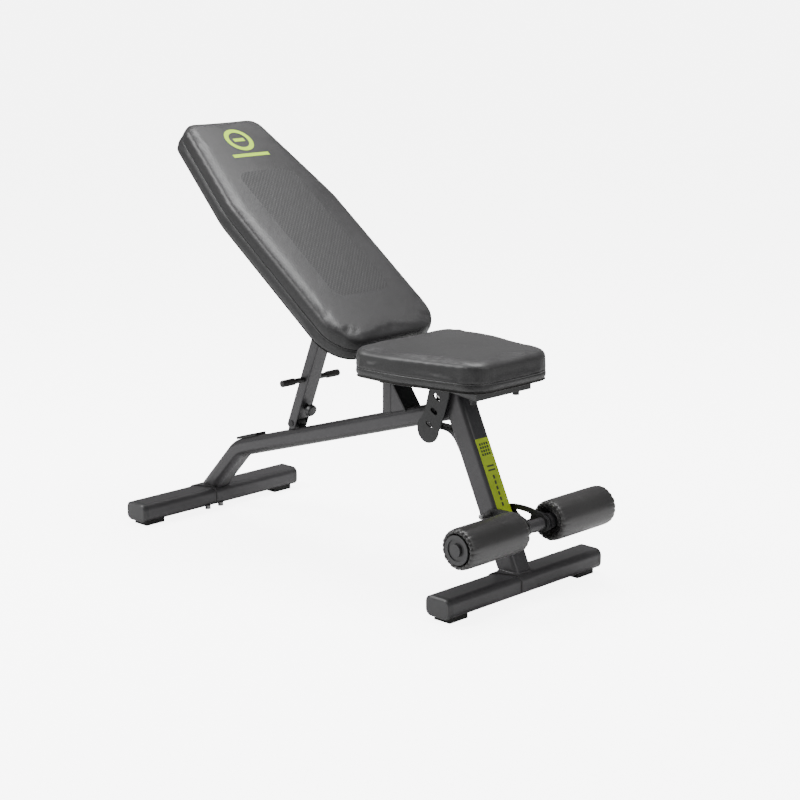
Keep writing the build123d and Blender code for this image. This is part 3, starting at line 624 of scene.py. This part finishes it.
OUTLINE_POINTS = 320
back_s0, back_s1 = extent("backrest_pad", BACK_U)
back_n0, back_n1 = extent("backrest_board", BACK_N)[0], extent("backrest_pad", BACK_N)[1]
back_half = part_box("backrest_pad")[1][1]
BACK_KINK, BACK_HEAD_HALF = 0.470, 0.110
back_outline, back_outward = rounded_outline(
    [(back_s0, -back_half), (BACK_KINK, -back_half), (back_s1, -BACK_HEAD_HALF),
     (back_s1, BACK_HEAD_HALF), (BACK_KINK, back_half), (back_s0, back_half)],
    (0.078, 0.200, 0.042, 0.042, 0.200, 0.078), OUTLINE_POINTS)
BACK_SEAM = 0.042
SWELL = 0.003
back_top = back_n1 - SWELL - 0.001
back_profile = (
    (0.0040, back_n0 + 0.0004), (0.0025, back_n0 + 0.002), (0.0015, back_n0 + 0.012), (0.0010, BACK_SEAM),
    (0.0010, back_top - 0.013), (0.0020, back_top - 0.0075), (0.0050, back_top - 0.0030),
    (0.0095, back_top - 0.0007), (0.0160, back_top))
back_pad = cushion("backrest_cushion", BACK, back_outline, back_outward, back_profile, 0.0055, BACK_SEAM,
                   0.025, 3.5, SWELL, 0.006, "vinyl_back", "backrest", "backrest_pad")

seat_low, seat_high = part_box("seat_pad")
board_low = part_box("seat_board")[0]
SEAT_KINK, SEAT_HEAD_HALF = 0.246, 0.115
seat_outline, seat_outward = rounded_outline(
    [(seat_low[0], -seat_high[1]), (SEAT_KINK, -seat_high[1]), (seat_high[0], -SEAT_HEAD_HALF),
     (seat_high[0], SEAT_HEAD_HALF), (SEAT_KINK, seat_high[1]), (seat_low[0], seat_high[1])],
    (0.038, 0.250, 0.052, 0.052, 0.250, 0.038), OUTLINE_POINTS)
SEAT_SEAM = board_low[2] + 0.018
seat_top = seat_high[2] - SWELL + 0.001
seat_profile = (
    (0.0090, board_low[2] + 0.0004), (0.0055, board_low[2] + 0.0016), (0.0025, board_low[2] + 0.005),
    (0.0012, SEAT_SEAM - 0.006), (0.0010, SEAT_SEAM), (0.0010, seat_top - 0.012),
    (0.0020, seat_top - 0.0065), (0.0048, seat_top - 0.0025), (0.0090, seat_top - 0.0006),
    (0.0160, seat_top))
seat_pad = cushion("seat_cushion", SEAT, seat_outline, seat_outward, seat_profile, 0.0050, SEAT_SEAM,
                   board_low[2] + 0.010, 4.0, SWELL, 0.008, "vinyl", "seat", "seat_pad")

for name, pad, local, outline, outward, seam, board_n, body in (
        ("backrest", back_pad, BACK, back_outline, back_outward, BACK_SEAM, back_n0, "backrest"),
        ("seat", seat_pad, SEAT, seat_outline, seat_outward, SEAT_SEAM, board_low[2], "seat")):
    welt = smooth_loop(surface_points(pad, local, outline, outward, seam, 0.0002))
    add_object(f"{name}_piping", tube_along(f"{name}_piping", welt, 0.0019), "piping", body)
    turned_hem(f"{name}_hem", local, outline, outward, board_n, 0.026, body)
    staples(f"{name}_staples", local, outline, outward, board_n - 0.0012, 0.017, 5, body)


# ---------------------------------------------------------------- ankle rollers
def pleats(seed, count):
    """Uneven gathers round a roller's end: height 0 to 1 by angle."""
    rng = random.Random(seed)
    edges = np.cumsum([rng.uniform(0.75, 1.25) for _ in range(count)])
    edges = np.r_[0, edges] / edges[-1] * 2 * math.pi
    depth = [rng.uniform(0.7, 1.0) for _ in range(count)]

    def height(angle):
        k = int(np.searchsorted(edges, angle, "right")) - 1
        k = min(max(k, 0), count - 1)
        t = (angle - edges[k]) / (edges[k + 1] - edges[k])
        return depth[k] * math.sin(math.pi * t) ** 0.55
    return height


ROLLER_SEGMENTS = 288
for side, hand in SIDES:
    low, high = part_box(f"roller_foam_{hand}")
    radius = (high[2] - low[2]) / 2
    inner, outer = (low[1], high[1]) if side > 0 else (high[1], low[1])
    cap_low, cap_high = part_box(f"roller_cap_{hand}")
    cap_r = (cap_high[2] - cap_low[2]) / 2
    out_pleat, in_pleat = pleats(11 + side, 21), pleats(23 + side, 19)
    # Each station: distance from the nearer end, radius, pleat strength outwards and endwise.
    end_shape = [(0.034, 0.0, 0.0, 0.0), (0.020, 0.0, 0.0002, 0.0), (0.010, 0.0, 0.0007, 0.0),
                 (0.0055, 0.0002, 0.0013, 0.0), (0.0025, 0.0006, 0.0018, 0.0004),
                 (0.0004, 0.0018, 0.0018, 0.0012), (-0.0012, 0.0040, 0.0014, 0.0022),
                 (-0.0018, 0.0065, 0.0008, 0.0028)]
    rings = []
    inner_tail = [(0.0004, 0.0105, 0.0004, 0.0026), (0.0050, 0.0140, 0.0003, 0.0012),
                  (0.0070, radius - 0.0185, 0.0, 0.0004)]
    outer_tail = [(-0.0008, radius - cap_r - 0.0028, 0.0004, 0.0024),
                  (0.0040, radius - cap_r - 0.0012, 0.0, 0.0006),
                  (0.0080, radius - cap_r - 0.0010, 0.0, 0.0)]
    for d, drop, amp_r, amp_a in reversed(end_shape + inner_tail):
        rings.append((inner + side * d, radius - drop, amp_r, -side * amp_a, in_pleat))
    for d, drop, amp_r, amp_a in end_shape + outer_tail:
        rings.append((outer - side * d, radius - drop, amp_r, side * amp_a, out_pleat))
    verts = []
    for y, r, amp_r, amp_a, pleat in rings:
        for k in range(ROLLER_SEGMENTS):
            a = 2 * math.pi * k / ROLLER_SEGMENTS
            h = pleat(a)
            rr = r - amp_r * (1 - h)
            verts.append((ROLLER_AXIS.x + rr * math.cos(a), y + amp_a * (h - 0.6),
                          ROLLER_AXIS.z + rr * math.sin(a)))
    mesh = mesh_from(f"roller_cover_{hand}", verts, strip_faces(len(rings), ROLLER_SEGMENTS, True))
    bm = bmesh.new()
    bm.from_mesh(mesh)
    bmesh.ops.recalc_face_normals(bm, faces=bm.faces)
    bm.to_mesh(mesh)
    bm.free()
    cover = add_object(f"roller_cover_{hand}", mesh, "roller_vinyl", f"roller_{hand}")
    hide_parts(f"roller_foam_{hand}")


# ---------------------------------------------------------------- printed mark and leg label
def decal(name, shapes, place, material, body, lift):
    """Flat shapes, each a list of (a, b) points, laid on a surface by place(a, b)."""
    verts, faces = [], []
    for shape in shapes:
        start = len(verts)
        verts += [place(a, b, lift) for a, b in shape]
        verts += [place(a, b, lift - 0.0003) for a, b in shape]
        n = len(shape)
        faces.append(tuple(range(start, start + n)))
        faces.append(tuple(reversed(range(start + n, start + 2 * n))))
        for i in range(n):
            j = (i + 1) % n
            faces.append((start + i, start + n + i, start + n + j, start + j))
    mesh = mesh_from(name, verts, faces)
    bm = bmesh.new()
    bm.from_mesh(mesh)
    bmesh.ops.recalc_face_normals(bm, faces=bm.faces)
    bmesh.ops.triangulate(bm, faces=[f for f in bm.faces if len(f.verts) > 4])
    bm.to_mesh(mesh)
    bm.free()
    return add_object(name, mesh, material, body, smooth=False)


back_tree = BVHTree.FromObject(back_pad, bpy.context.evaluated_depsgraph_get())


def on_backrest(a, b, lift):
    start = BACK.place(a, b, 0.12)
    hit = back_tree.ray_cast(start, -BACK_N)[0]
    return hit + BACK_N * lift


def ring_pieces(centre, r_out, r_in, gaps, steps=72):
    """A ring cut into short quads, so that it follows a curved surface, with open gaps (degrees)."""
    quads = []
    for k in range(steps):
        a0, a1 = 2 * math.pi * k / steps, 2 * math.pi * (k + 1) / steps
        if any(lo <= math.degrees((a0 + a1) / 2) < hi for lo, hi in gaps):
            continue
        quads.append([(centre[0] + r * math.cos(a), centre[1] + r * math.sin(a))
                      for r, a in ((r_out, a0), (r_out, a1), (r_in, a1), (r_in, a0))])
    return quads


def bar_pieces(a0, a1, b0, b1, steps=12):
    """A bar cut into short quads across the pad."""
    edges = [b0 + (b1 - b0) * k / steps for k in range(steps + 1)]
    return [[(a0, p), (a1, p), (a1, q), (a0, q)] for p, q in zip(edges, edges[1:])]


MARK_AT = 0.662
mark = ring_pieces((MARK_AT, 0.0), 0.036, 0.025, [])
mark += bar_pieces(MARK_AT - 0.005, MARK_AT + 0.005, -0.015, 0.015, 4)
mark += bar_pieces(MARK_AT - 0.056, MARK_AT - 0.046, -0.052, 0.052)
decal("backrest_mark", mark, on_backrest, "green_ink", "backrest", 0.0004)

leg_tree = BVHTree.FromObject(NODES["leg_tube"], bpy.context.evaluated_depsgraph_get())


def on_leg(a, b, lift):
    """a is the height above the floor, b is across the leg."""
    hit, normal = leg_tree.ray_cast(Vector((1.0, 0.0, a)), Vector((-1, 0, 0)))[:2]
    return Vector((hit.x, b, hit.z)) + normal * lift


LABEL_LOW, LABEL_HIGH, LABEL_HALF = 0.148, 0.313, 0.0195
steps = [LABEL_LOW + (LABEL_HIGH - LABEL_LOW) * k / 8 for k in range(9)]
label = [[(p, -LABEL_HALF), (q, -LABEL_HALF), (q, LABEL_HALF), (p, LABEL_HALF)]
         for p, q in zip(steps, steps[1:])]
decal("leg_label", label, on_leg, "label_green", "stand", 0.0004)
signs = []
for row in range(4):
    for column in range(4):
        z0, y0 = 0.280 + row * 0.0066, -0.0130 + column * 0.0068
        signs.append([(z0, y0), (z0 + 0.0045, y0), (z0 + 0.0045, y0 + 0.0045), (z0, y0 + 0.0045)])
for z0 in (0.258, 0.250):
    signs.append([(z0, -0.010), (z0 + 0.003, -0.010), (z0 + 0.003, 0.010), (z0, 0.010)])
for k in range(6):
    z0 = 0.182 + k * 0.0105
    signs.append([(z0, -0.0025), (z0 + 0.007, -0.0025), (z0 + 0.007, 0.0025), (z0, 0.0025)])
decal("leg_label_signs", signs, on_leg, "label_dark", "stand", 0.0007)


# ---------------------------------------------------------------- weld beads
def weld(name, outline_points, target, direction, material="frame_steel", radius=0.0022):
    """Rippled bead where a tube meets another part: points are cast on to the target's surface."""
    tree = BVHTree.FromObject(NODES[target], bpy.context.evaluated_depsgraph_get())
    points = []
    for p in outline_points:
        hit = tree.ray_cast(p - direction * 0.05, direction)[0]
        if hit is not None:
            points.append(hit)
    if len(points) < len(outline_points) * 0.8:
        return None
    ripple = [radius * (0.85 + 0.25 * abs(math.sin(i * 0.9))) for i in range(len(points))]
    mesh = tube_along(name, points, lambda i: ripple[i], 7)
    return add_object(name, mesh, material, "stand")


def tube_loop(centre, x_axis, half_x, half_y, corner, count=90):
    """Points round a rectangular tube's section."""
    outline, _ = rounded_outline([(-half_x, -half_y), (half_x, -half_y), (half_x, half_y), (-half_x, half_y)],
                                 (corner,) * 4, count)
    return [centre + x_axis * a + Vector((0, b, 0)) for a, b in outline]


leg_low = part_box("leg_tube")
LEG_AXIS = Vector((-math.sin(math.radians(25.2)), 0, math.cos(math.radians(25.2))))
leg_foot = Vector((0.3725, 0, 0.200)) - LEG_AXIS * ((0.200 - 0.054) / LEG_AXIS.z)
leg_cross = Vector((LEG_AXIS.z, 0, -LEG_AXIS.x))
weld("leg_weld", tube_loop(leg_foot, leg_cross, 0.0260, 0.0255, 0.0095), "front_foot_saddle", -LEG_AXIS)
post_low, post_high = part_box("post_tube")
post_mid = Vector(((post_low[0] + post_high[0]) / 2, 0, post_low[2] + 0.02))
weld("post_weld", tube_loop(post_mid, Vector((1, 0, 0)), 0.0122, 0.0202, 0.003), "spine_tube",
     Vector((0, 0, -1)))


# ---------------------------------------------------------------- floor and light
FLOOR_SIZE = 400.0
floor_mesh = mesh_from("floor", [(-FLOOR_SIZE, -FLOOR_SIZE, 0), (FLOOR_SIZE, -FLOOR_SIZE, 0),
                                 (FLOOR_SIZE, FLOOR_SIZE, 0), (-FLOOR_SIZE, FLOOR_SIZE, 0)], [(0, 1, 2, 3)])
floor = bpy.data.objects.new("floor", floor_mesh)
bpy.context.scene.collection.objects.link(floor)
g = Graph("floor")
seen = g.node("ShaderNodeLightPath").outputs["Is Camera Ray"]
g.put(g.math("MULTIPLY", seen, 6.0), g.shader.inputs["Emission Strength"])
floor_mesh.materials.append(g.finish(rgb(0.93, 0.93, 0.93), 0.9, Emission_Color=rgb(1.0, 1.0, 1.0)))

world = bpy.data.worlds.new("studio")
bpy.context.scene.world = world
world.use_nodes = True
world.node_tree.nodes["Background"].inputs["Color"].default_value = rgb(1.0, 1.0, 1.0)
world.node_tree.nodes["Background"].inputs["Strength"].default_value = 0.3


def area_light(name, at, toward, size, power):
    data = bpy.data.lights.new(name, "AREA")
    data.shape = "RECTANGLE"
    data.size, data.size_y = size
    data.energy = power
    light = bpy.data.objects.new(name, data)
    bpy.context.scene.collection.objects.link(light)
    light.location = at
    light.rotation_euler = (Vector(toward) - Vector(at)).to_track_quat("-Z", "Y").to_euler()


area_light("top_left", (-1.6, -2.4, 3.0), (0.0, 0.0, 0.4), (1.8, 1.8), 170)
area_light("right_front", (3.2, 0.6, 2.2), (0.2, 0.0, 0.3), (1.2, 2.4), 30)
area_light("overhead", (0.0, 0.6, 3.6), (0.0, 0.0, 0.3), (2.6, 1.8), 180)
